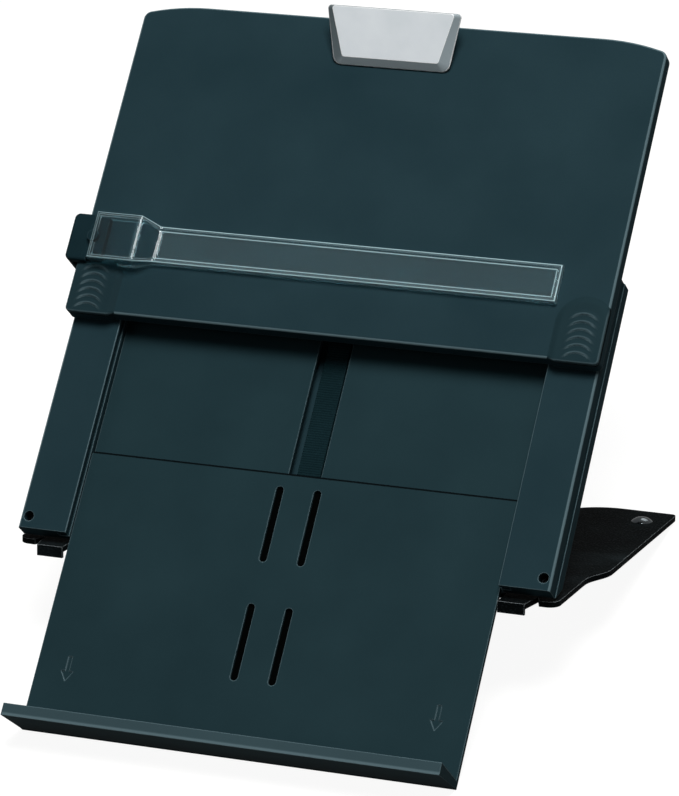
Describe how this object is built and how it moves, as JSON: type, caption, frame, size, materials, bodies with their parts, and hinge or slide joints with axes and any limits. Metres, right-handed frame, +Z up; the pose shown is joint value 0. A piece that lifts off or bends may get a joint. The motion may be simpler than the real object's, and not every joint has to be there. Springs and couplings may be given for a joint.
{
  "type": "document holder",
  "caption": "Desktop copyholder: a slate-grey sliding panel and shelf on a hinged black stand, with a silver paper clip and a clear line guide.",
  "frame": {"origin": "on the desk, below the middle of the holder's overall box", "axes": "+X to the reader's right, +Y away from the reader, +Z up"},
  "size_m": [0.311, 0.3466, 0.2683],
  "materials": {
    "body": "moulded slate-grey plastic with a fine spark texture",
    "plate": "smooth slate-grey plastic",
    "track": "coarse-textured dark plastic",
    "black": "satin black plastic",
    "clip": "satin silver paint",
    "clear": "clear polished acrylic",
    "stand": "black plastic with a leather grain",
    "steel": "zinc-plated steel",
    "dark_steel": "blackened steel",
    "spring": "spring steel",
    "glide": "low-friction plastic strip",
    "rivet": "polished",
    "rubber": "soft black rubber"
  },
  "bodies": {
    "base": {"back_shell": "body", "left_rail": "body", "right_rail": "body", "rail_screws": "dark_steel", "left_plate": "plate", "right_plate": "plate", "centre_track": "track", "hinge_pin_left": "steel", "hinge_pin_right": "steel"},
    "shelf": {"shelf": "plate", "shelf_hook": "black", "shelf_brake": "spring"},
    "panel": {"front_panel": "body", "panel_cover": "body", "panel_screws": "dark_steel", "panel_runner_left": "black", "panel_runner_right": "black", "panel_glides": "glide", "clip_bracket": "steel", "bracket_screws": "steel", "clip_pin": "steel", "clip_spring": "spring"},
    "clip": {"clip_cover": "clip", "clip_lever": "black", "clip_pad": "rubber"},
    "guide": {"guide_slider": "black", "guide_spring": "spring", "line_guide": "clear"},
    "stand": {"stand_plate": "stand", "stand_feet": "rubber", "foot_rivets": "rivet", "friction_washers": "spring"}
  },
  "joints": [
    {"name": "shelf_slide", "type": "slide", "parent": "base", "child": "shelf", "axis": [0, 0.8095, 0.5871], "range_m": [-0.006, 0.098]},
    {"name": "panel_slide", "type": "slide", "parent": "base", "child": "panel", "axis": [0, 0.8095, 0.5871], "range_m": [-0.116, 0]},
    {"name": "guide_slide", "type": "slide", "parent": "panel", "child": "guide", "axis": [0, 0.8095, 0.5871], "range_m": [0, 0.1]},
    {"name": "clip_pivot", "type": "hinge", "parent": "panel", "child": "clip", "pos_m": [0, 0.15551, 0.24887], "axis": [1, 0, 0], "range_deg": [-20, 0], "stiffness_Nm_per_rad": 0.15, "springref_deg": 20.05, "deforming": ["clip_spring"]},
    {"name": "stand_hinge", "type": "hinge", "parent": "base", "child": "stand", "pos_m": [0, -0.05235, 0.0534], "axis": [1, 0, 0], "range_deg": [-2, 54]}
  ]
}
